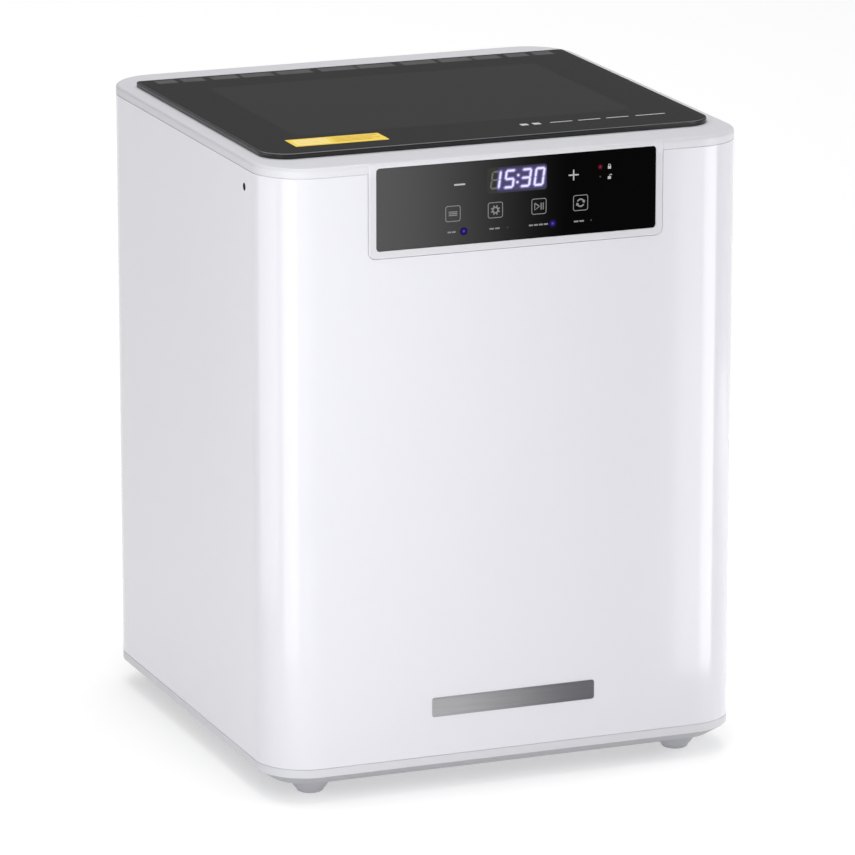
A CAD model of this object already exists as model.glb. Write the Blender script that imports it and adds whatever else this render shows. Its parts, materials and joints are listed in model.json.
"""Looks of the resin wash station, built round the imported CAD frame: metres, +Z up, front towards -Y."""

import json
import math

import bmesh
import bpy
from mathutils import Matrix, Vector

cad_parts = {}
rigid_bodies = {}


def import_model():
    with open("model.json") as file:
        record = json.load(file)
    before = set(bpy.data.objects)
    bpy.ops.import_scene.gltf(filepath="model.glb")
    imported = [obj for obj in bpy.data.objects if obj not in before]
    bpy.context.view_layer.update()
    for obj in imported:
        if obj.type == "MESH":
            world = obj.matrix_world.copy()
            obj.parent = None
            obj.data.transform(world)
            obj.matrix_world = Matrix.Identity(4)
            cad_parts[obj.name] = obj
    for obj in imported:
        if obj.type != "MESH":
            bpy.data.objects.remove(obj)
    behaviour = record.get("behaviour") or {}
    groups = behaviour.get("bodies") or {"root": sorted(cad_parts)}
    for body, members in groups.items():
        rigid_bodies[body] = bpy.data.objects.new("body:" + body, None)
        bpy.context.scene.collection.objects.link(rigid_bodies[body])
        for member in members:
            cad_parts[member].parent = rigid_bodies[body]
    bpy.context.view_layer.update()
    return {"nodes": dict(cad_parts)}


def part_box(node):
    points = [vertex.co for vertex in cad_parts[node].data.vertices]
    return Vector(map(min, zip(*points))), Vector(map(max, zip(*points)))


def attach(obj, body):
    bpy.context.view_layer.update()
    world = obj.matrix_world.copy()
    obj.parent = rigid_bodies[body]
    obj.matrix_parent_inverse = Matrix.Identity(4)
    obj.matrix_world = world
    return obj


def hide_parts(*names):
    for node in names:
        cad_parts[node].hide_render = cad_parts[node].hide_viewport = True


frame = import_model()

MM = 0.001
nodes = frame["nodes"]

# ---- places taken from the frame ----
shell_lo, shell_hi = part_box("outer_shell")
frame_lo, frame_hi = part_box("top_frame")
tray_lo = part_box("base_tray")[0]
feet_lo, feet_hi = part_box("feet")
glass_lo, glass_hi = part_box("control_glass")
lid_lo, lid_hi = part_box("lid_panel")
label_lo, label_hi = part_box("lid_label")
liner_lo, liner_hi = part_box("chamber_liner")
plate_lo, plate_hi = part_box("name_plate")
rear_lo, rear_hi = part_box("rear_panel")
rear_lo.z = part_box("inlet_plate")[0].z
hinge_lo, hinge_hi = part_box("hinge_frame_leaf")
seal_lo, seal_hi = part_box("lid_seal")
screw_lo, screw_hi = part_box("side_screws")
glass_mid = (glass_lo + glass_hi) / 2
screw_y, screw_z = (screw_lo.y + screw_hi.y) / 2, (screw_lo.z + screw_hi.z) / 2
screw_r = (screw_hi.z - screw_lo.z) / 2

# ---- driving sizes that the frame's boxes don't give ----
CORNER_R = 40 * MM        # upright corners of the body
SHEET = 1.2 * MM          # thickness of the shell's sheet
SEAM = 0.4 * MM           # gap between the shell and the mouldings
RIM_SKIN = 3 * MM         # wall of the rim
BEZEL = 6 * MM            # width of the bezel round the control glass
BEZEL_R = 5.7 * MM        # its corners
LID_FRONT_R = 22 * MM     # the lid's front corners
LID_REAR_R = 4 * MM       # the lid's rear corners
OPENING_R = 3 * MM        # corners of the chamber's opening
FLANGE = 10 * MM          # liner flange outside the opening
ARC_STEPS = 24            # steps of a rounded corner
TRAY_RISE = 2.8 * MM      # step of the tray's underside up to its edge
TRAY_BAND = 6 * MM        # upright band above the tray's undercut
PANEL_R = 6 * MM          # corners of the rear panel
SKIRT_Z = 455 * MM        # lower end of the rim's skirt behind the shell
LEDGE_HALF = 173 * MM     # half the length of the hinge's ledge
CUT = 5 * MM              # reach of a cutting solid past the piece that it cuts
HEAD_R = 3.6 * MM         # screw heads on the back
PRINT = 0.08 * MM         # thickness of a printed mark
SINK = 0.02 * MM          # how far a mark reaches into the surface under it

# ---- mesh tools ----


def outline(x0, x1, y0, y1, radii, inset=0.0, steps=ARC_STEPS):
    """Points of a rounded rectangle. radii: front left, front right, rear right, rear left."""
    x0, x1, y0, y1 = x0 + inset, x1 - inset, y0 + inset, y1 - inset
    corners = [(x0, y0, 1, 1, 180), (x1, y0, -1, 1, 270), (x1, y1, -1, -1, 0), (x0, y1, 1, -1, 90)]
    points = []
    for (x, y, sx, sy, start), radius in zip(corners, radii):
        r = max(radius - inset, 0.3 * MM)
        for k in range(steps + 1):
            a = math.radians(start + 90 * k / steps)
            points.append((x + sx * r + r * math.cos(a), y + sy * r + r * math.sin(a)))
    return points


def lift(points, level, plane="xy"):
    """Puts a flat outline at a level along the axis across its plane."""
    if plane == "xy":
        return [(a, b, level) for a, b in points]
    if plane == "xz":
        return [(a, level, b) for a, b in points]
    return [(level, a, b) for a, b in points]


def new_piece(name, mesh):
    """An object in the scene that holds the mesh."""
    piece = bpy.data.objects.new(name, mesh)
    bpy.context.scene.collection.objects.link(piece)
    return piece


def from_bmesh(name, bm):
    """An object from a bmesh, with its faces turned outwards."""
    bmesh.ops.recalc_face_normals(bm, faces=bm.faces)
    mesh = bpy.data.meshes.new(name)
    bm.to_mesh(mesh)
    bm.free()
    return new_piece(name, mesh)


def loft(name, rings, loop=False):
    """A closed solid through rings of equal length: capped at both ends, or joined round into a loop."""
    bm = bmesh.new()
    rows = [[bm.verts.new(p) for p in r] for r in rings]
    count = len(rows[0])
    for a, b in zip(rows, rows[1:] + (rows[:1] if loop else [])):
        for i in range(count):
            j = (i + 1) % count
            bm.faces.new((a[i], a[j], b[j], b[i]))
    if not loop:
        bm.faces.new(rows[0])
        bm.faces.new(rows[-1])
    return from_bmesh(name, bm)


def prism(name, points, level0, level1, plane="xy"):
    """A solid with straight walls between two levels of a flat outline."""
    return loft(name, [lift(points, level0, plane), lift(points, level1, plane)])


def block(name, lo, hi):
    """A plain box between two corners."""
    return prism(name, [(lo[0], lo[1]), (hi[0], lo[1]), (hi[0], hi[1]), (lo[0], hi[1])], lo[2], hi[2])


def disc_points(a, b, r, steps=48):
    """Points of a circle."""
    return [(a + r * math.cos(2 * math.pi * k / steps), b + r * math.sin(2 * math.pi * k / steps))
            for k in range(steps)]


def fillet(r, steps=5):
    """Quarter of a circle as (inset, drop) pairs, from the top face's edge to the side face's."""
    return [(r - r * math.sin(a), r - r * math.cos(a))
            for a in [math.pi / 2 * k / steps for k in range(steps + 1)]]


def slab(name, box, radii, z0, z1, top_r, bottom_r, plane="xy"):
    """A plate with rounded corners and rounded edges."""
    x0, x1, y0, y1 = box
    levels = [(i, z0 + d) for i, d in fillet(bottom_r)] + [(i, z1 - d) for i, d in reversed(fillet(top_r))]
    return loft(name, [lift(outline(x0, x1, y0, y1, radii, i), z, plane) for i, z in levels])


def lathe(name, profile, centre, steps=64):
    """A solid of revolution about an upright axis, through (radius, height) pairs."""
    rings = [[(centre[0] + r * math.cos(2 * math.pi * k / steps),
               centre[1] + r * math.sin(2 * math.pi * k / steps), centre[2] + z) for k in range(steps)]
             for r, z in profile]
    return loft(name, rings)


def bake(piece):
    """Applies the piece's modifiers."""
    bpy.context.view_layer.update()
    graph = bpy.context.evaluated_depsgraph_get()
    mesh = bpy.data.meshes.new_from_object(piece.evaluated_get(graph))
    old = piece.data
    piece.modifiers.clear()
    piece.data = mesh
    bpy.data.meshes.remove(old)
    return piece


def combine(piece, others, operation="DIFFERENCE"):
    """Cuts the others from the piece, or joins them to it, and removes them."""
    for other in others:
        step = piece.modifiers.new("solid", "BOOLEAN")
        step.operation = operation
        step.solver = "EXACT"
        step.object = other
        bake(piece)
        bpy.data.objects.remove(other)
    return piece


def merge(name, pieces):
    """One mesh from several separate solids."""
    bm = bmesh.new()
    for piece in pieces:
        bpy.context.view_layer.update()
        mesh = piece.data.copy()
        mesh.transform(piece.matrix_world)
        bm.from_mesh(mesh)
        bpy.data.meshes.remove(mesh)
        bpy.data.objects.remove(piece)
    return from_bmesh(name, bm)


def smooth(piece, angle=40):
    """Smooth shading across gentle edges, with flat faces kept flat."""
    for face in piece.data.polygons:
        face.use_smooth = True
    piece.data.set_sharp_from_angle(angle=math.radians(angle))
    step = piece.modifiers.new("flat_faces", "WEIGHTED_NORMAL")
    step.keep_sharp = True
    step.weight = 80
    return piece


# ---- materials ----


def surface(name, colour, rough, metal=0.0, mottle=0.02, mottle_size=60 * MM, rough_spread=0.05,
            grain=0.8 * MM, relief=0.05, stretch=(1, 1, 1), coat=0.0, alpha=1.0, gloss=0.5, tint=None):
    """A principled material whose colour, roughness and relief vary with the place on the piece.

    The colour varies by mottle over mottle_size. Roughness and relief vary over the grain.
    """
    mat = bpy.data.materials.new(name)
    mat.use_nodes = True
    tree = mat.node_tree
    shader = tree.nodes["Principled BSDF"]
    shader.inputs["Metallic"].default_value = metal
    shader.inputs["Coat Weight"].default_value = coat
    shader.inputs["Coat Roughness"].default_value = 0.10
    shader.inputs["Alpha"].default_value = alpha
    shader.inputs["Specular IOR Level"].default_value = gloss
    coords = tree.nodes.new("ShaderNodeTexCoord")
    mapping = tree.nodes.new("ShaderNodeMapping")
    mapping.inputs["Scale"].default_value = stretch
    tree.links.new(coords.outputs["Object"], mapping.inputs["Vector"])

    def noise(size, detail):
        """A noise that varies over about the given size."""
        node = tree.nodes.new("ShaderNodeTexNoise")
        node.inputs["Scale"].default_value = 1 / size
        node.inputs["Detail"].default_value = detail
        tree.links.new(mapping.outputs["Vector"], node.inputs["Vector"])
        return node

    broad = noise(mottle_size, 4)
    fine = noise(grain, 2)
    mix = tree.nodes.new("ShaderNodeMix")
    mix.data_type = "RGBA"
    low = [c * (1 - mottle) for c in colour]
    high = [min(c * (1 + mottle), 1) for c in (tint or colour)]
    mix.inputs["A"].default_value = (*low, 1)
    mix.inputs["B"].default_value = (*high, 1)
    tree.links.new(broad.outputs["Fac"], mix.inputs["Factor"])
    tree.links.new(mix.outputs["Result"], shader.inputs["Base Color"])
    spread = tree.nodes.new("ShaderNodeMapRange")
    spread.inputs["To Min"].default_value = max(rough - rough_spread, 0.02)
    spread.inputs["To Max"].default_value = min(rough + rough_spread, 1)
    tree.links.new(fine.outputs["Fac"], spread.inputs["Value"])
    tree.links.new(spread.outputs["Result"], shader.inputs["Roughness"])
    bump = tree.nodes.new("ShaderNodeBump")
    bump.inputs["Strength"].default_value = relief
    bump.inputs["Distance"].default_value = grain
    tree.links.new(fine.outputs["Fac"], bump.inputs["Height"])
    tree.links.new(bump.outputs["Normal"], shader.inputs["Normal"])
    return mat


def glow(mat, colour, strength):
    """Makes a material give off light."""
    shader = mat.node_tree.nodes["Principled BSDF"]
    shader.inputs["Emission Color"].default_value = (*colour, 1)
    shader.inputs["Emission Strength"].default_value = strength
    return mat


def graded(mat, axis, start, end, near, far):
    """Grades the base colour along one axis of the piece, under the material's own mottling."""
    tree = mat.node_tree
    shader = tree.nodes["Principled BSDF"]
    mottled = shader.inputs["Base Color"].links[0].from_socket
    coords = tree.nodes.new("ShaderNodeTexCoord")
    split = tree.nodes.new("ShaderNodeSeparateXYZ")
    tree.links.new(coords.outputs["Object"], split.inputs["Vector"])
    place = tree.nodes.new("ShaderNodeMapRange")
    place.interpolation_type = "SMOOTHSTEP"
    place.inputs["From Min"].default_value = start
    place.inputs["From Max"].default_value = end
    tree.links.new(split.outputs[axis], place.inputs["Value"])
    ramp = tree.nodes.new("ShaderNodeMix")
    ramp.data_type = "RGBA"
    ramp.inputs["A"].default_value = (*near, 1)
    ramp.inputs["B"].default_value = (*far, 1)
    tree.links.new(place.outputs["Result"], ramp.inputs["Factor"])
    both = tree.nodes.new("ShaderNodeMix")
    both.data_type = "RGBA"
    both.blend_type = "MULTIPLY"
    both.inputs["Factor"].default_value = 1
    tree.links.new(mottled, both.inputs["A"])
    tree.links.new(ramp.outputs["Result"], both.inputs["B"])
    tree.links.new(both.outputs["Result"], shader.inputs["Base Color"])
    return mat


SLOTS = {}


def slot_material(slot, colour, rough, **more):
    """The material of one slot of the record."""
    SLOTS[slot] = surface(slot, colour, rough, **more)


slot_material("shell_white", (0.752, 0.748, 0.797), 0.22, mottle=0.006, grain=1.6 * MM, relief=0.006,
              rough_spread=0.03, coat=0.6)
slot_material("rear_white", (0.74, 0.74, 0.77), 0.42, mottle=0.01, grain=0.5 * MM, relief=0.12,
              rough_spread=0.06)
slot_material("trim_grey", (0.70, 0.70, 0.73), 0.38, mottle=0.015, grain=0.35 * MM, relief=0.08,
              rough_spread=0.05)
slot_material("foot_rubber", (0.44, 0.44, 0.47), 0.68, mottle=0.05, mottle_size=12 * MM, grain=0.4 * MM,
              relief=0.2)
slot_material("seal_rubber", (0.02, 0.02, 0.022), 0.75, mottle=0.1, mottle_size=20 * MM, grain=0.5 * MM,
              relief=0.2)
slot_material("smoked_lid", (0.012, 0.012, 0.012), 0.16, mottle=0.04, mottle_size=90 * MM,
              grain=0.7 * MM, relief=0.01, rough_spread=0.03, alpha=0.93)
slot_material("black_glass", (0.9, 0.9, 0.9), 0.06, mottle=0.02, grain=2 * MM, relief=0.003,
              rough_spread=0.02, gloss=0.03)
slot_material("black_plastic", (0.022, 0.022, 0.024), 0.45, mottle=0.08, mottle_size=25 * MM,
              grain=0.4 * MM, relief=0.15)
slot_material("steel", (0.62, 0.62, 0.63), 0.32, metal=1, mottle=0.05, mottle_size=30 * MM,
              grain=0.5 * MM, relief=0.04, stretch=(1, 6, 1))
slot_material("dark_steel", (0.055, 0.055, 0.06), 0.45, metal=1, mottle=0.08, mottle_size=10 * MM,
              grain=0.4 * MM, relief=0.05)
slot_material("liner_steel", (0.66, 0.67, 0.69), 0.3, metal=1, mottle=0.04, mottle_size=80 * MM,
              grain=1.2 * MM, relief=0.04, stretch=(1, 1, 14))
slot_material("aluminium", (0.70, 0.70, 0.71), 0.42, metal=1, mottle=0.04, mottle_size=30 * MM,
              grain=0.5 * MM, relief=0.06, stretch=(1, 1, 8))
slot_material("magnet_nickel", (0.66, 0.65, 0.62), 0.18, metal=1, mottle=0.03, mottle_size=8 * MM,
              grain=0.6 * MM, relief=0.02)
slot_material("brass_post", (0.72, 0.52, 0.22), 0.3, metal=1, mottle=0.06, mottle_size=8 * MM,
              grain=0.5 * MM, relief=0.04)
slot_material("circuit_green", (0.02, 0.13, 0.05), 0.35, mottle=0.25, mottle_size=3 * MM,
              grain=0.5 * MM, relief=0.1)
slot_material("board_white", (0.78, 0.78, 0.76), 0.4, mottle=0.03, mottle_size=10 * MM, grain=0.4 * MM,
              relief=0.05)
slot_material("display_black", (0.012, 0.012, 0.014), 0.25, mottle=0.1, mottle_size=10 * MM,
              grain=0.5 * MM, relief=0.03)
slot_material("lamp_clear", (0.72, 0.74, 0.80), 0.15, mottle=0.04, mottle_size=2 * MM, grain=0.3 * MM,
              relief=0.05)
slot_material("clear_cover", (0.55, 0.60, 0.66), 0.2, mottle=0.05, mottle_size=30 * MM, grain=0.6 * MM,
              relief=0.03, alpha=0.4)
slot_material("tub_plastic", (0.62, 0.68, 0.76), 0.28, mottle=0.03, mottle_size=50 * MM, grain=0.7 * MM,
              relief=0.05, alpha=0.62)
slot_material("impeller_white", (0.76, 0.76, 0.75), 0.35, mottle=0.03, mottle_size=12 * MM,
              grain=0.4 * MM, relief=0.08)
slot_material("label_yellow", (0.88, 0.60, 0.04), 0.42, mottle=0.06, mottle_size=14 * MM,
              grain=0.3 * MM, relief=0.05, tint=(0.92, 0.68, 0.10))
slot_material("cable_black", (0.015, 0.015, 0.016), 0.5, mottle=0.1, mottle_size=8 * MM, grain=0.4 * MM,
              relief=0.1)
slot_material("ribbon_grey", (0.45, 0.45, 0.46), 0.5, mottle=0.05, mottle_size=6 * MM, grain=0.6 * MM,
              relief=0.2, stretch=(12, 1, 1))

glow(SLOTS["label_yellow"], (0.9, 0.55, 0.03), 0.08)
graded(SLOTS["black_glass"], "X", glass_lo.x - 8 * MM, glass_mid.x + 45 * MM, (0.090, 0.090, 0.090),
       (0.0006, 0.0006, 0.0006))

# CAD nodes take the materials of their slots; the side screws are blackened
for node in nodes.values():
    for held in node.material_slots:
        held.material = SLOTS[held.material.name.split(".")[0]]
for held in nodes["side_screws"].material_slots:
    held.material = SLOTS["black_plastic"]


def dress(piece, slot, body="housing", stands_for=(), mat=None):
    """Gives a piece its material, its record slot, its body and the CAD nodes that it stands for."""
    piece.data.materials.clear()
    piece.data.materials.append(mat or SLOTS[slot])
    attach(piece, body)
    if stands_for:
        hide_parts(*stands_for)
    return piece


# ---- the housing's visible shells ----

BODY_BOX = (shell_lo.x, shell_hi.x, shell_lo.y, shell_hi.y)
BODY_RADII = [CORNER_R] * 4
OPEN_BOX = (liner_lo.x + FLANGE, liner_hi.x - FLANGE, liner_lo.y + FLANGE, liner_hi.y - FLANGE)
OPEN_RADII = [OPENING_R] * 4
bezel_x = (glass_lo.x - BEZEL, glass_hi.x + BEZEL)
bezel_z = glass_lo.z - BEZEL
seam_top = shell_hi.z + SEAM
seam_bottom = shell_lo.z - SEAM


def body_ring(inset, z):
    """The body's plan outline, drawn in by the inset, at a height."""
    return lift(outline(*BODY_BOX, BODY_RADII, inset), z)


def opening_ring(margin, z):
    """The chamber opening's outline, widened by the margin, at a height."""
    return lift(outline(*OPEN_BOX, OPEN_RADII, -margin), z)


def make_shell():
    """The wrapped sheet: one gloss wall with rolled edges, open for the bezel, screws and rear panel."""
    z0, z1 = shell_lo.z, shell_hi.z
    edge = fillet(0.4 * MM, 4)
    rings = [body_ring(i, z0 + d) for i, d in edge] + [body_ring(i, z1 - d) for i, d in reversed(edge)]
    rings += [body_ring(SHEET, z1), body_ring(SHEET, z0)]
    shell = loft("shell_wrap", rings, loop=True)
    gap = 0.3 * MM
    notch = prism("notch", outline(bezel_x[0] - gap, bezel_x[1] + gap, bezel_z - gap, z1 + 40 * MM,
                                   [BEZEL_R + gap] * 4), shell_lo.y - CUT, shell_lo.y + CUT, "xz")
    back = prism("back", outline(rear_lo.x - SEAM, rear_hi.x + SEAM, rear_lo.z - SEAM, rear_hi.z + SEAM,
                                 [PANEL_R] * 4), shell_hi.y - CUT, shell_hi.y + CUT, "xz")
    hole = prism("hole", disc_points(screw_y, screw_z, screw_r + 0.3 * MM), shell_lo.x - CUT,
                 shell_hi.x + CUT, "yz")
    combine(shell, [notch, back, hole])
    # lips behind the edge of the rear panel, and a flange turned in at the foot
    lip = 10 * MM
    box = (rear_lo.x, rear_hi.x, rear_lo.z, rear_hi.z)
    behind = [shell_hi.y - 2 * SHEET, shell_hi.y - SHEET - 0.02 * MM]
    wide, narrow = (outline(*box, [PANEL_R] * 4, s * lip) for s in (-1, 1))
    lips = loft("lips", [lift(wide, behind[0], "xz"), lift(wide, behind[1], "xz"),
                         lift(narrow, behind[1], "xz"), lift(narrow, behind[0], "xz")], loop=True)
    reach = 32 * MM
    flange = loft("floor_flange", [body_ring(SHEET, z0 + 0.2 * MM), body_ring(reach, z0 + 0.2 * MM),
                                   body_ring(reach, z0 + SHEET), body_ring(SHEET, z0 + SHEET)], loop=True)
    wrap = smooth(merge("shell_wrap", [shell, lips, flange]))
    return dress(wrap, "shell_white", stands_for=["outer_shell"])


def make_top_frame():
    """The moulded rim: rounded outer edge, lip into the chamber, hinge ledge, seal groove and bezel."""
    z0, z1 = seam_top, frame_hi.z
    outer = [body_ring(i, z0 + d) for i, d in fillet(0.4 * MM, 3)]
    outer += [body_ring(i, z1 - d) for i, d in reversed(fillet(2.6 * MM, 8))]
    inner = [opening_ring(m, z1 - d) for m, d in fillet(0.8 * MM, 4)]
    inner += [opening_ring(0, liner_hi.z), opening_ring(3 * MM, liner_hi.z)]
    inner += [opening_ring(3 * MM, z1 - RIM_SKIN), body_ring(RIM_SKIN, z1 - RIM_SKIN),
              body_ring(RIM_SKIN, z0)]
    rim = loft("rim", outer + inner, loop=True)
    ledge = block("ledge", (-LEDGE_HALF, OPEN_BOX[3] - 0.5 * MM, z0),
                  (LEDGE_HALF, hinge_hi.y + 4 * MM, z1 - 0.5 * MM))
    apron_box = (bezel_x[0], bezel_x[1], bezel_z, z1)
    apron_levels = [(i, frame_lo.y + d) for i, d in fillet(1.4 * MM, 5)]
    apron_levels.append((0, shell_lo.y + 6.5 * MM))
    apron = loft("apron", [lift(outline(*apron_box, [BEZEL_R, BEZEL_R, 1.5 * MM, 1.5 * MM], i), y, "xz")
                           for i, y in apron_levels])
    combine(rim, [ledge, apron], "UNION")
    recess = block("recess", (hinge_lo.x - MM, OPEN_BOX[3] - MM, hinge_lo.z - 0.08 * MM),
                   (hinge_hi.x + MM, hinge_hi.y + 0.5 * MM, z1 + CUT))
    pocket_box = (glass_lo.x, glass_hi.x, glass_lo.z, glass_hi.z)
    pocket = prism("pocket", outline(*pocket_box, [2.7 * MM] * 4, -0.2 * MM), frame_lo.y - CUT,
                   glass_hi.y, "xz")
    groove_z = seal_lo.z
    wide, narrow = 8.1 * MM, 4.0 * MM
    groove = loft("groove", [opening_ring(wide, groove_z), opening_ring(wide, z1 + CUT),
                             opening_ring(narrow, z1 + CUT), opening_ring(narrow, groove_z)], loop=True)
    reach = block("reach", (-0.3, -0.3, groove_z - MM), (0.3, seal_hi.y + 0.1 * MM, z1 + 6 * MM))
    combine(groove, [reach], "INTERSECT")
    combine(rim, [recess, pocket, groove])
    # the skirt behind the shell with the bead that fills the seam, and the bosses of the side screws
    skirt = loft("skirt", [body_ring(1.6 * MM, SKIRT_Z), body_ring(1.6 * MM, z0 + MM),
                           body_ring(4.1 * MM, z0 + MM), body_ring(4.1 * MM, SKIRT_Z)], loop=True)
    low, high = shell_hi.z + 0.06 * MM, z0 + 0.6 * MM  # the bead's ends
    bead = loft("bead", [body_ring(0.4 * MM, low), body_ring(0.4 * MM, high), body_ring(2 * MM, high),
                         body_ring(2 * MM, low)], loop=True)
    combine(skirt, [bead], "UNION")
    gap = outline(bezel_x[0] + MM, bezel_x[1] - MM, SKIRT_Z - MM, z1, [MM] * 4, 0, 2)
    combine(skirt, [prism("gap", gap, shell_lo.y - MM, shell_lo.y + 9 * MM, "xz")])
    bosses = []
    for side in (-1, 1):
        ends = sorted((side * (screw_hi.x - 0.5 * MM), side * (screw_hi.x - 12 * MM)))
        bosses.append(prism("boss", disc_points(screw_y, screw_z, 6.5 * MM), *ends, "yz"))
    moulded = surface("rim_grey", (0.70, 0.70, 0.73), 0.38, mottle=0.015, grain=0.35 * MM, relief=0.08)
    graded(moulded, "Z", z0 - 4 * MM, z0, (0.94, 0.94, 0.94), (1.0, 1.0, 1.0))
    return dress(smooth(merge("rim", [rim, skirt] + bosses), 35), "trim_grey", stands_for=["top_frame"],
                 mat=moulded)


def make_tray():
    """The base tray: an upright band below the seam, an undercut, and a step down to the flat underside."""
    z0, z1 = tray_lo.z, seam_bottom + 0.26 * MM  # the band reaches into the seam
    crease = seam_bottom - TRAY_BAND
    edge = z0 + TRAY_RISE
    # inset in millimetres and height
    profile = [(26, z0), (25.6, edge - 0.2 * MM), (14.6, edge), (13.4, edge + 0.25 * MM),
               (12.4, edge + 0.9 * MM), (0.55, crease - 0.45 * MM),
               (0.2, crease - 0.12 * MM), (0.04, crease + 0.14 * MM), (0, crease + 0.4 * MM)]
    rings = [body_ring(i * MM, z) for i, z in profile]
    rings += [body_ring(i, z1 - d) for i, d in reversed(fillet(0.35 * MM, 3))]
    tray = loft("tray_skin", rings)
    cuts = []
    for x, y in base_screw_places(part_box("base_screws")[1]):
        cuts.append(prism("recess", disc_points(x, y, 4.2 * MM), z0 - MM, z0 + 3 * MM))
    combine(tray, [merge("recesses", cuts)])
    shaded = surface("tray_grey", (0.66, 0.66, 0.69), 0.42, mottle=0.015, grain=0.35 * MM, relief=0.08)
    graded(shaded, "Z", crease - 0.5 * MM, crease + 0.1 * MM, (0.57, 0.57, 0.58), (1.0, 1.0, 1.0))
    return dress(smooth(tray, 20), "trim_grey", stands_for=["base_tray"], mat=shaded)


def base_screw_places(hi):
    """Eight screws: two on each side of the tray, at the box's sides and 80 mm from the middle."""
    x, y, along = hi.x - 4 * MM, hi.y - 4 * MM, 80 * MM
    signs = [(sx, sy) for sx in (-1, 1) for sy in (-1, 1)]
    return [(sx * x, sy * along) for sx, sy in signs] + [(sx * along, sy * y) for sx, sy in signs]


def make_feet():
    """Four tapered rubber feet with a rounded tread and a screw recess."""
    r_top = 17 * MM
    r_low = 10.5 * MM
    h = feet_hi.z - feet_lo.z
    profile = [(4.9 * MM, 5 * MM), (4.9 * MM, 0.5 * MM), (5.4 * MM, 0)]
    profile += [(r_low - i, d) for i, d in reversed(fillet(2.6 * MM, 6))]
    profile += [(r_low + 1.6 * MM, h * 0.45), (r_low + 3.4 * MM, h * 0.75), (r_top - 1.2 * MM, h),
                (r_top, h + TRAY_RISE + 0.1 * MM)]
    feet = []
    for x in (feet_lo.x + r_top, feet_hi.x - r_top):
        for y in (feet_lo.y + r_top, feet_hi.y - r_top):
            feet.append(lathe("foot", profile, (x, y, feet_lo.z)))
    return dress(smooth(merge("rubber_feet", feet), 50), "foot_rubber", stands_for=["feet"])


make_shell()
make_top_frame()
make_tray()
make_feet()

# ---- control panel ----

FACE_Y = glass_lo.y  # front of the control glass


def flat_print(name, points, thick=PRINT):
    """A printed mark on the control glass."""
    return prism(name, points, FACE_Y - thick, FACE_Y + SINK, "xz")


def stroke(name, path, width):
    """A line of constant width along points on the control glass."""
    left, right = [], []
    for k, (x, z) in enumerate(path):
        x0, z0 = path[max(k - 1, 0)]
        x1, z1 = path[min(k + 1, len(path) - 1)]
        length = math.hypot(x1 - x0, z1 - z0)
        nx, nz = -(z1 - z0) / length * width / 2, (x1 - x0) / length * width / 2
        left.append((x + nx, z + nz))
        right.append((x - nx, z - nz))
    return flat_print(name, left + right[::-1])


def arc(x, z, r, a0, a1, steps=16):
    """Points from one angle to another, in degrees, on a circle."""
    return [(x + r * math.cos(math.radians(a0 + (a1 - a0) * k / steps)),
             z + r * math.sin(math.radians(a0 + (a1 - a0) * k / steps))) for k in range(steps + 1)]


def outlined_square(name, x, z, size, r, width):
    """A rounded square drawn as a thin closed line."""
    half = size / 2
    box = (x - half, x + half, z - half, z + half)
    wide = outline(*box, [r] * 4, 0, 8)
    narrow = outline(*box, [r] * 4, width, 8)
    back, front = FACE_Y + SINK, FACE_Y - PRINT
    return loft(name, [lift(wide, back, "xz"), lift(wide, front, "xz"), lift(narrow, front, "xz"),
                       lift(narrow, back, "xz")], loop=True)


# Places on the glass: x from the body's middle, z above the floor
KEYS = [-48.9 * MM, -15.2 * MM, 19.6 * MM, 53.0 * MM]
KEY_Z = 443.5 * MM
KEY_SIZE = 12 * MM
CAPTIONS = [(-49.6 * MM, 7), (-15.4 * MM, 9), (19.6 * MM, 16), (52.2 * MM, 9)]  # middle, length in mm
CAPTION_Z = 429.6 * MM
DISPLAY = (2.0 * MM, 465.8 * MM)
DISPLAY_SIZE = (47.7 * MM, 19.6 * MM)
SIGN_Z = 465 * MM
MINUS_X = (-47.9 * MM, -39.3 * MM)
PLUS_X = 47.3 * MM
PLUS_ARM = 4.0 * MM
PADLOCK_X = 76.1 * MM
LAMP_X = 68.7 * MM


def key_symbols(x, z, kind):
    """The sign inside a key: bars, a cog, play and pause, or a turning arrow."""
    if kind == 0:
        return [stroke("bar", [(x - 3.4 * MM, z + s * MM), (x + 3.4 * MM, z + s * MM)], 0.7 * MM)
                for s in (-1.3, 0, 1.3)]
    if kind == 1:
        parts = [stroke("cog_ring", arc(x, z, 2.1 * MM, 0, 359), 1.1 * MM)]
        for k in range(8):
            a = math.radians(45 * k + 22.5)
            c, s = math.cos(a), math.sin(a)
            parts.append(stroke("tooth", [(x + 2.5 * MM * c, z + 2.5 * MM * s),
                                          (x + 3.7 * MM * c, z + 3.7 * MM * s)], 1.0 * MM))
        return parts
    if kind == 2:
        t, w = 2.6 * MM, 0.75 * MM
        play = [(x - 3.4 * MM, z + t), (x - 3.4 * MM, z - t), (x + 0.4 * MM, z), (x - 3.4 * MM, z + t)]
        parts = [stroke("play", play[:3], w), stroke("play", play[2:], w)]
        return parts + [stroke("pause", [(x + s * MM, z - t), (x + s * MM, z + t)], w) for s in (1.7, 3.4)]
    parts = [stroke("turn", arc(x, z, 2.7 * MM, a, a + 125), 1.1 * MM) for a in (30, 210)]
    for a in (30, 210):
        c, s = math.cos(math.radians(a)), math.sin(math.radians(a))
        tip = (x + 2.7 * MM * c + 1.9 * MM * s, z + 2.7 * MM * s - 1.9 * MM * c)
        parts.append(flat_print("arrow", [tip, (x + 4.2 * MM * c, z + 4.2 * MM * s),
                                          (x + 1.2 * MM * c, z + 1.2 * MM * s)]))
    return parts


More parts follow.
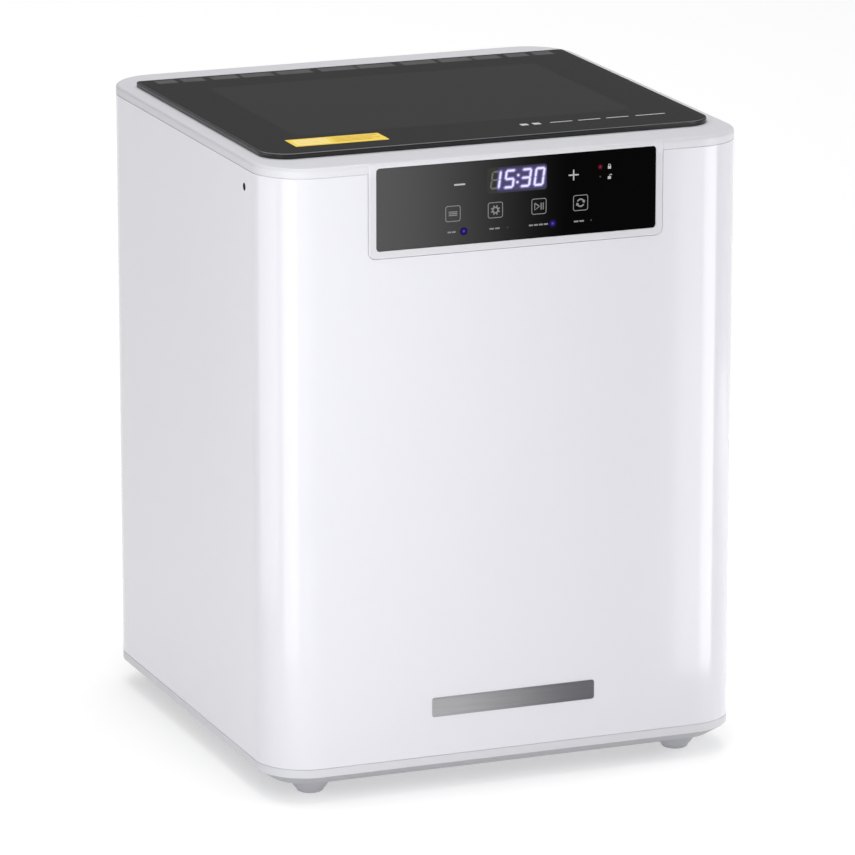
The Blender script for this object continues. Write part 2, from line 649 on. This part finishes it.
def padlock(x, z, open_shackle):
    """A small padlock, shut or open."""
    w, h = 2.5 * MM, 2.1 * MM
    body = flat_print("lock", [(x - w / 2, z - h), (x + w / 2, z - h), (x + w / 2, z), (x - w / 2, z)])
    r = 0.85 * MM
    shift = 1.1 * MM if open_shackle else 0
    path = [(x - r + shift, z)] + arc(x + shift, z + 0.6 * MM, r, 180, 0)
    if not open_shackle:
        path.append((x + r, z))
    return [body, stroke("shackle", path, 0.45 * MM)]


# Seven segments of a digit, as ends in units of its half width and half height
SEGMENTS = {"a": ((-1, 1), (1, 1)), "b": ((1, 1), (1, 0)), "c": ((1, 0), (1, -1)), "d": ((-1, -1), (1, -1)),
            "e": ((-1, 0), (-1, -1)), "f": ((-1, 1), (-1, 0)), "g": ((-1, 0), (1, 0))}
DIGITS = {"0": "abcdef", "1": "bc", "3": "abcdg", "5": "acdfg"}
SLANT = math.tan(math.radians(8))  # lean of the digits


def digit(x, z, letters, thick, gap, rise):
    """Segments of one leaning digit, with a gap at both ends of each."""
    half_w, half_h = 3.2 * MM, 6.2 * MM
    parts = []
    for letter in letters:
        ends = [Vector((a * half_w, b * half_h)) for a, b in SEGMENTS[letter]]
        along = (ends[1] - ends[0]).normalized()
        across = Vector((-along.y, along.x)) * thick / 2
        p, q = ends[0] + along * gap, ends[1] - along * gap
        tip = along * thick * 0.5
        points = [p - tip, p + across, q + across, q + tip, q - across, p - across]
        parts.append(flat_print("segment", [(x + v.x + v.y * SLANT, z + v.y) for v in points], rise))
    return parts


def make_control_panel():
    """The black glass with its printed keys, signs and dashes, the display and the lamps."""
    box = (glass_lo.x, glass_hi.x, glass_lo.z, glass_hi.z)
    radii = [2.5 * MM] * 4
    levels = [(i, glass_lo.y + d) for i, d in fillet(0.35 * MM, 4)]
    levels.append((0, glass_hi.y - 0.02 * MM))
    glass = loft("panel_glass", [lift(outline(*box, radii, i), y, "xz") for i, y in levels])
    dress(smooth(glass), "black_glass", stands_for=["control_glass"])

    prints = []
    for kind, x in enumerate(KEYS):
        prints.append(outlined_square("key", x, KEY_Z, KEY_SIZE, 1.8 * MM, 0.55 * MM))
        prints += key_symbols(x, KEY_Z, kind)
    dim = surface("print_grey", (0.20, 0.20, 0.205), 0.5, mottle=0.1, mottle_size=3 * MM,
                  grain=0.2 * MM, relief=0.05)
    glow(dim, (0.8, 0.8, 0.9), 0.02)
    dress(merge("key_prints", prints), "board_white", mat=dim)

    bright = surface("print_white", (0.43, 0.43, 0.44), 0.45, mottle=0.04, mottle_size=3 * MM,
                     grain=0.2 * MM, relief=0.05)
    glow(bright, (0.9, 0.9, 1.0), 0.045)
    signs = [stroke("minus", [(x, SIGN_Z) for x in MINUS_X], 1.25 * MM),
             stroke("plus", [(PLUS_X - PLUS_ARM, SIGN_Z), (PLUS_X + PLUS_ARM, SIGN_Z)], 0.95 * MM)]
    for ends in ((-PLUS_ARM, -0.6 * MM), (0.6 * MM, PLUS_ARM)):
        signs.append(stroke("plus", [(PLUS_X, SIGN_Z + rise) for rise in ends], 0.95 * MM))
    signs += padlock(PADLOCK_X, 469.6 * MM, False) + padlock(PADLOCK_X, 461.8 * MM, True)
    dress(merge("sign_prints", signs), "board_white", mat=bright)

    # plain dashes stand where captions would be
    dashes = []
    low, high = CAPTION_Z - 0.6 * MM, CAPTION_Z + 0.6 * MM
    for x, run in CAPTIONS:
        count = max(2, run // 4)
        step = run * MM / count
        for k in range(count):
            a = x - run * MM / 2 + k * step
            b = a + step * 0.8
            dashes.append(flat_print("dash", [(a, low), (b, low), (b, high), (a, high)]))
    dress(merge("caption_dashes", dashes), "board_white", mat=dim)

    make_display()
    make_lamps()


def make_display():
    """A dark window that glows round its lit digits, with unlit segments in the digit at the left."""
    x, z = DISPLAY
    w, h = DISPLAY_SIZE[0] / 2, DISPLAY_SIZE[1] / 2
    columns = [x - 17.0 * MM, x - 5.9 * MM, x + 7.2 * MM, x + 17.9 * MM]  # middles of the digits
    mid_z = z + 0.3 * MM

    def pane(name, box, rise, colour, light, strength):
        """A faintly lit sheet on the glass."""
        mat = surface(name, colour, 0.25, mottle=0.2, mottle_size=5 * MM, grain=0.5 * MM, relief=0.02,
                      gloss=0.06)
        glow(mat, light, strength)
        piece = slab(name, box, [2.4 * MM] * 4, FACE_Y + SINK, FACE_Y - rise, 0.01 * MM, 0.01 * MM, "xz")
        dress(piece, "display_black", mat=mat)

    whole = (x - w, x + w, z - h, z + h)
    hazy = (x - w + 7.5 * MM, x + w, z - h + 0.4 * MM, z + h - 0.4 * MM)
    bright = (x - w + 8.8 * MM, x + w - 1.2 * MM, z - h + 1.7 * MM, z + h - 1.5 * MM)
    pane("display_window", whole, 0.02 * MM, (0.02, 0.02, 0.018), (0.30, 0.30, 0.27), 0.055)
    pane("display_haze", hazy, 0.035 * MM, (0.03, 0.025, 0.05), (0.30, 0.25, 0.60), 0.07)
    pane("display_bloom", bright, 0.05 * MM, (0.03, 0.025, 0.05), (0.30, 0.25, 0.62), 0.14)

    def shine(name, thick, gap, rise, colour, strength):
        """One layer of the lit digits and the colon between them."""
        parts = []
        for column, number in zip(columns[1:], "530"):
            parts += digit(column, mid_z, DIGITS[number], thick, gap, rise)
        parts += digit(columns[0], mid_z, DIGITS["1"], thick, gap, rise)
        for up in (-2.6 * MM, 2.6 * MM):
            dot = disc_points(x + 0.6 * MM + up * SLANT, z + up, thick * 0.52, 20)
            parts.append(flat_print("colon", dot, rise))
        mat = surface(name, (0.03, 0.03, 0.045), 0.4, mottle=0.02, mottle_size=3 * MM, grain=0.3 * MM,
                      relief=0.02, gloss=0.1)
        glow(mat, colour, strength)
        dress(merge(name, parts), "lamp_clear", mat=mat)

    shine("digit_halo", 3.5 * MM, 0.1 * MM, 0.07 * MM, (0.34, 0.28, 0.80), 0.42)
    shine("digit_edge", 2.2 * MM, 0.35 * MM, 0.10 * MM, (0.52, 0.46, 1.0), 0.62)
    shine("display_digits", 1.4 * MM, 0.7 * MM, 0.13 * MM, (0.86, 0.84, 1.0), 0.95)
    ghost = surface("display_unlit", (0.10, 0.10, 0.095), 0.5, mottle=0.05, mottle_size=3 * MM,
                    grain=0.3 * MM, relief=0.02)
    unlit = digit(columns[0], mid_z, "adefg", 1.45 * MM, 0.9 * MM, 0.06 * MM)
    dress(merge("display_unlit", unlit), "display_black", mat=ghost)


def make_lamps():
    """A red lamp and idle ones, and blue lamps after two of the captions, each with a soft glow."""

    def lamp(name, places, r, colour, strength, rise):
        """Discs of one colour at several places."""
        mat = surface(name, [0.1 * c for c in colour], 0.3, mottle=0.1, mottle_size=2 * MM, grain=0.2 * MM,
                      relief=0.02, gloss=0.02)
        glow(mat, colour, strength)
        dots = [flat_print("lamp", disc_points(x, z, r, 24), rise) for x, z in places]
        dress(merge(name, dots), "lamp_clear", mat=mat)

    red = [(LAMP_X, 469.4 * MM)]
    lamp("lamp_red_glow", red, 2.0 * MM, (0.28, 0.01, 0.04), 0.09, 0.03 * MM)
    lamp("lamp_red", red, 1.2 * MM, (0.36, 0.012, 0.05), 0.27, 0.06 * MM)
    lamp("lamp_red_core", red, 0.6 * MM, (0.62, 0.10, 0.17), 0.27, 0.1 * MM)
    idle = [(LAMP_X, 462 * MM), (-5.4 * MM, CAPTION_Z), (61.5 * MM, CAPTION_Z)]
    lamp("lamp_idle", idle, 0.7 * MM, (0.25, 0.27, 0.27), 0.1, 0.1 * MM)
    blue = [(-40.3 * MM, CAPTION_Z), (30.6 * MM, CAPTION_Z)]
    lamp("lamp_blue_glow", blue, 3.0 * MM, (0.035, 0.02, 0.25), 0.20, 0.03 * MM)
    lamp("lamp_blue", blue, 1.7 * MM, (0.06, 0.035, 0.42), 0.36, 0.06 * MM)
    lamp("lamp_blue_core", blue, 0.8 * MM, (0.16, 0.12, 0.7), 0.45, 0.1 * MM)


make_control_panel()

# ---- lid ----

LID_BOX = (lid_lo.x, lid_hi.x, lid_lo.y, lid_hi.y)
LID_RADII = [LID_FRONT_R, LID_FRONT_R, LID_REAR_R, LID_REAR_R]
TOP = lid_hi.z  # upper face of the lid


def lid_print(name, points, thick):
    """A mark on the lid's top."""
    return prism(name, points, TOP - SINK, TOP + thick)


def rectangle(x, y, w, h):
    """Corners of a rectangle, from its middle and its size."""
    return [(x - w / 2, y - h / 2), (x + w / 2, y - h / 2), (x + w / 2, y + h / 2), (x - w / 2, y + h / 2)]


# Blocks of the strip hinge that show through the lid: distance from the middle and width, in millimetres
HINGE_BLOCKS = [(16, 30), (52, 28), (83, 26), (110, 22), (136, 18), (158, 16)]
BLOCK_DEPTH = 13 * MM
WINDOW = (-136 * MM, 136 * MM, -94 * MM, 100 * MM)  # the clear part inside the lid's dark border
# Marks near the front right corner: middles of the squares, middle and length of each bar, in millimetres
MARK_SQUARES = (38, 48)
MARK_BARS = ((68, 18), (91, 18), (114, 18), (141, 24))
MARK_Y = -117.4 * MM


def lid_band(name, insets, mat):
    """A thin closed band round the lid: pairs of inset and height above the lid's top, in millimetres."""
    rings = [lift(outline(*LID_BOX, LID_RADII, i * MM), TOP + z * MM) for i, z in insets]
    dress(smooth(loft(name, rings, loop=True)), "smoked_lid", "lid", mat=mat)


def make_lid():
    """The smoked panel with its bright edge, what shows through it, its printed marks and the label."""
    panel = slab("smoked_panel", LID_BOX, LID_RADII, lid_lo.z, lid_hi.z, 1.0 * MM, 0.4 * MM)
    dress(smooth(panel), "smoked_lid", "lid", ["lid_panel"])
    edge = surface("lid_edge", (0.085, 0.085, 0.088), 0.2, mottle=0.25, mottle_size=30 * MM,
                   grain=0.5 * MM, relief=0.02)
    rounding = [(0.10, -0.62), (0.27, -0.27), (0.62, -0.05), (1.0, 0.03), (1.1, -0.1), (0.6, -0.5)]
    lid_band("lid_edge", rounding, edge)

    # what shows through the smoked sheet: the hinge's blocks, and the window inside its black border
    seen = surface("lid_seen_through", (0.098, 0.098, 0.10), 0.2, mottle=0.35, mottle_size=9 * MM,
                   grain=0.7 * MM, relief=0.01)
    block_y = lid_hi.y - 4.5 * MM - BLOCK_DEPTH / 2
    blocks = []
    for side in (-1, 1):
        for middle, width in HINGE_BLOCKS:
            box = rectangle(side * middle * MM, block_y, width * MM, BLOCK_DEPTH)
            blocks.append(lid_print("block", box, 0.015 * MM))
    dress(merge("lid_hinge_blocks", blocks), "smoked_lid", "lid", mat=seen)
    pane = surface("lid_window", (0.017, 0.017, 0.0172), 0.17, mottle=0.1, mottle_size=70 * MM,
                   grain=0.7 * MM, relief=0.01)
    dress(lid_print("lid_window", outline(*WINDOW, [8 * MM] * 4, 0, 8), 0.012 * MM), "smoked_lid", "lid",
          mat=pane)

    boxes = [rectangle(x * MM, MARK_Y, 6 * MM, 6 * MM) for x in MARK_SQUARES]
    boxes += [rectangle(x * MM, MARK_Y, w * MM, 1.8 * MM) for x, w in MARK_BARS]
    marks = [lid_print("mark", box, 0.06 * MM) for box in boxes]
    white = surface("lid_mark_white", (0.58, 0.58, 0.59), 0.5, mottle=0.08, mottle_size=4 * MM,
                    grain=0.3 * MM, relief=0.03)
    dress(merge("lid_marks", marks), "board_white", "lid", mat=white)

    size = label_hi - label_lo
    mid = (label_lo + label_hi) / 2
    label = slab("label_sheet", (label_lo.x, label_hi.x, label_lo.y, label_hi.y), [MM] * 4, label_lo.z,
                 label_hi.z - 0.05 * MM, 0.05 * MM, 0.02 * MM)
    dress(smooth(label), "label_yellow", "lid", ["lid_label"])

    def ink(name, rows, colour, top):
        """Printed bars on the label: place and size as parts of the label's width and depth."""
        marks = []
        for across, along, w, h in rows:
            box = rectangle(label_lo.x + size.x * across, mid.y + size.y * along, size.x * w, size.y * h)
            marks.append(prism("ink", box, top - 0.06 * MM, top))
        mat = surface(name, colour, 0.5, mottle=0.08, mottle_size=3 * MM, grain=0.3 * MM, relief=0.03)
        glow(mat, colour, 0.08)
        dress(merge(name, marks), "label_yellow", "lid", mat=mat)

    lines = [(0.71, 0.30, 0.48, 0.05), (0.68, 0.13, 0.42, 0.05), (0.71, -0.04, 0.48, 0.05),
             (0.66, -0.21, 0.38, 0.05)]
    ink("label_ink", lines, (0.50, 0.33, 0.02), label_hi.z)
    ink("label_pale", [(0.23, 0.0, 0.36, 0.70)], (0.92, 0.74, 0.26), label_hi.z)
    bars = [(0.23, s * 0.17, 0.30, 0.04) for s in (-1, 0, 1)]
    ink("label_bars", bars, (0.72, 0.54, 0.08), label_hi.z + 0.02 * MM)


make_lid()

# ---- name plate and fasteners ----


def make_name_plate():
    """A blank brushed plate on the front, with a fine step round its edge."""
    box = (plate_lo.x, plate_hi.x, plate_lo.z, plate_hi.z)
    levels = [(0, plate_hi.y - 0.02 * MM), (0, plate_lo.y + 0.5 * MM), (0.5 * MM, plate_lo.y + 0.1 * MM),
              (0.8 * MM, plate_lo.y), (1.6 * MM, plate_lo.y), (1.7 * MM, plate_lo.y + 0.15 * MM)]
    plate = loft("front_plate", [lift(outline(*box, [2 * MM] * 4, i, 10), y, "xz") for i, y in levels])
    brushed = surface("plate_brushed", (0.40, 0.40, 0.41), 0.42, metal=0.7, mottle=0.12,
                      mottle_size=7 * MM, grain=0.4 * MM, relief=0.12, stretch=(0.15, 1, 4))
    graded(brushed, "X", plate_lo.x, plate_hi.x, (1.0, 1.0, 1.0), (0.30, 0.30, 0.32))
    dress(smooth(plate), "steel", stands_for=["name_plate"], mat=brushed)


def screw_head(x, y0, y1, z, r):
    """A pan head with a cross recess, facing +Y."""
    rise = y1 - y0
    profile = [(r, 0), (r, rise * 0.25), (r * 0.93, rise * 0.6), (r * 0.75, rise * 0.88), (r * 0.45, rise)]
    rings = [lift(disc_points(x, z, radius, 32), y0 + h, "xz") for radius, h in profile]
    head = loft("head", rings)
    arms = []
    for w, h in ((r * 0.28, r * 1.1), (r * 1.1, r * 0.28)):
        arms.append(prism("arm", rectangle(x, z, w, h), y1 - rise * 0.55, y1 + MM, "xz"))
    return combine(head, arms)


def make_rear_screws():
    """Heads of the rear panel's and the fan's screws: at the box's corners, and rows between them."""
    for name, cad, slot, rows in (
            ("panel_screw_heads", "rear_panel_screws", "steel", (105 * MM, 135 * MM, 230 * MM, 325 * MM)),
            ("fan_screw_heads", "fan_screws", "dark_steel", ())):
        lo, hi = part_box(cad)
        heads = [screw_head(x, shell_hi.y, hi.y, z, HEAD_R) for x in (lo.x + HEAD_R, hi.x - HEAD_R)
                 for z in (lo.z + HEAD_R, *rows, hi.z - HEAD_R)]
        dress(smooth(merge(name, heads), 30), slot, stands_for=[cad])


def make_side_bushes():
    """Dark bushes that line the holes of the recessed side screws, flush with the shell."""
    wide, narrow = (disc_points(screw_y, screw_z, screw_r + gap * MM) for gap in (0.32, 0.04))
    bushes = []
    for side in (-1, 1):
        outer, inner = side * (shell_hi.x - 0.02 * MM), side * (screw_hi.x - 0.3 * MM)
        bushes.append(loft("bush", [lift(wide, outer, "yz"), lift(wide, inner, "yz"),
                                    lift(narrow, inner, "yz"), lift(narrow, outer, "yz")], loop=True))
    dress(smooth(merge("side_screw_bushes", bushes)), "black_plastic")


make_name_plate()
make_rear_screws()
make_side_bushes()

# ---- stage, camera and lights ----


def make_stage():
    """A wide pale floor that gives off a little light of its own, to stay near white."""
    side = 60
    floor = prism("floor", rectangle(0, 0, side, side), -0.02, 0)
    pale = surface("floor_pale", (0.64, 0.64, 0.64), 0.7, mottle=0.004, mottle_size=0.8, grain=4 * MM,
                   relief=0.01)
    glow(pale, (1, 1, 1), 0.43)
    floor.data.materials.append(pale)


def aim(obj, point):
    """Turns a camera or a light towards a point."""
    obj.rotation_euler = (Vector(point) - obj.location).to_track_quat("-Z", "Y").to_euler()


def area_light(name, place, target, size, power):
    """A white rectangle of light: width and height in metres, power in watts."""
    light = bpy.data.lights.new(name, "AREA")
    light.shape = "RECTANGLE"
    light.size, light.size_y = size
    light.energy = power
    holder = bpy.data.objects.new(name, light)
    bpy.context.scene.collection.objects.link(holder)
    holder.location = place
    aim(holder, target)
    return holder


def make_camera():
    """A long lens, far off, a little to the left of the front and above it."""
    azimuth, elevation, distance = math.radians(-21.58), math.radians(14.60), 4.683
    target = Vector((0.0056, -0.0022, 0.2301))
    away = Vector((math.sin(azimuth) * math.cos(elevation), -math.cos(azimuth) * math.cos(elevation),
                   math.sin(elevation)))
    camera = bpy.data.cameras.new("camera")
    camera.sensor_width = 36
    camera.lens = 254.2
    holder = bpy.data.objects.new("camera", camera)
    bpy.context.scene.collection.objects.link(holder)
    holder.location = target + away * distance
    aim(holder, target)
    bpy.context.scene.camera = holder


def make_world():
    """A soft dome: bright overhead and dim near the horizon, so that the smoked lid stays dark."""
    world = bpy.data.worlds.new("studio")
    world.use_nodes = True
    tree = world.node_tree
    coords = tree.nodes.new("ShaderNodeTexCoord")
    split = tree.nodes.new("ShaderNodeSeparateXYZ")
    tree.links.new(coords.outputs["Generated"], split.inputs["Vector"])
    band = tree.nodes.new("ShaderNodeMapRange")
    band.interpolation_type = "SMOOTHSTEP"
    band.inputs["From Min"].default_value = 0.35  # dim up to 20 degrees above the horizon
    band.inputs["From Max"].default_value = 0.65  # bright from 40 degrees
    tree.links.new(split.outputs["Z"], band.inputs["Value"])
    mix = tree.nodes.new("ShaderNodeMix")
    mix.data_type = "RGBA"
    mix.inputs["A"].default_value = (0.20, 0.20, 0.205, 1)
    mix.inputs["B"].default_value = (0.87, 0.87, 0.88, 1)
    tree.links.new(band.outputs["Result"], mix.inputs["Factor"])
    background = tree.nodes["Background"]
    tree.links.new(mix.outputs["Result"], background.inputs["Color"])
    background.inputs["Strength"].default_value = 0.655
    bpy.context.scene.world = world


def make_lights():
    """Near lights that grade the front and the right side, gloss strips for both corners, and soft ones."""
    left, right, front = shell_lo.x, shell_hi.x, shell_lo.y
    low = 0.25
    key = area_light("key", (-0.36, -0.70, 0.42), (left, front, low), (0.35, 0.8), 2.4)
    side = area_light("right_side", (1.3, -0.15, 0.45), (right, front, low), (0.5, 0.9), 7.0)
    for holder in (key, side):
        holder.visible_glossy = False
    # upright strips that only the gloss sees: place, target, width and power
    mid, height = 0.30, 0.59
    for name, place, target, width, power in (
            ("left_strip", (-0.436, -0.419), (left, front), 0.21, 0.58),
            ("left_panel", (-0.68, -0.063), (left, -0.15), 0.5, 0.9),
            ("right_strip", (0.314, -0.334), (right, front), 0.12, 0.74),
            ("right_soft", (0.243, -0.376), (0.168, front), 0.05, 0.17)):
        strip = area_light(name, (*place, mid), (*target, mid), (width, height), power)
        strip.visible_diffuse = False
    area_light("top_soft", (0, 0, 2.6), (0, 0, 0.48), (1.6, 1.6), 19)
    area_light("floor_wash", (0, 2.6, 3.2), (0, 3.4, 0), (5, 2.5), 62)
    for holder in bpy.data.objects:
        if holder.type == "LIGHT":
            holder.visible_camera = False


make_stage()
make_camera()
make_world()
make_lights()
bpy.context.scene.view_settings.view_transform = "Standard"
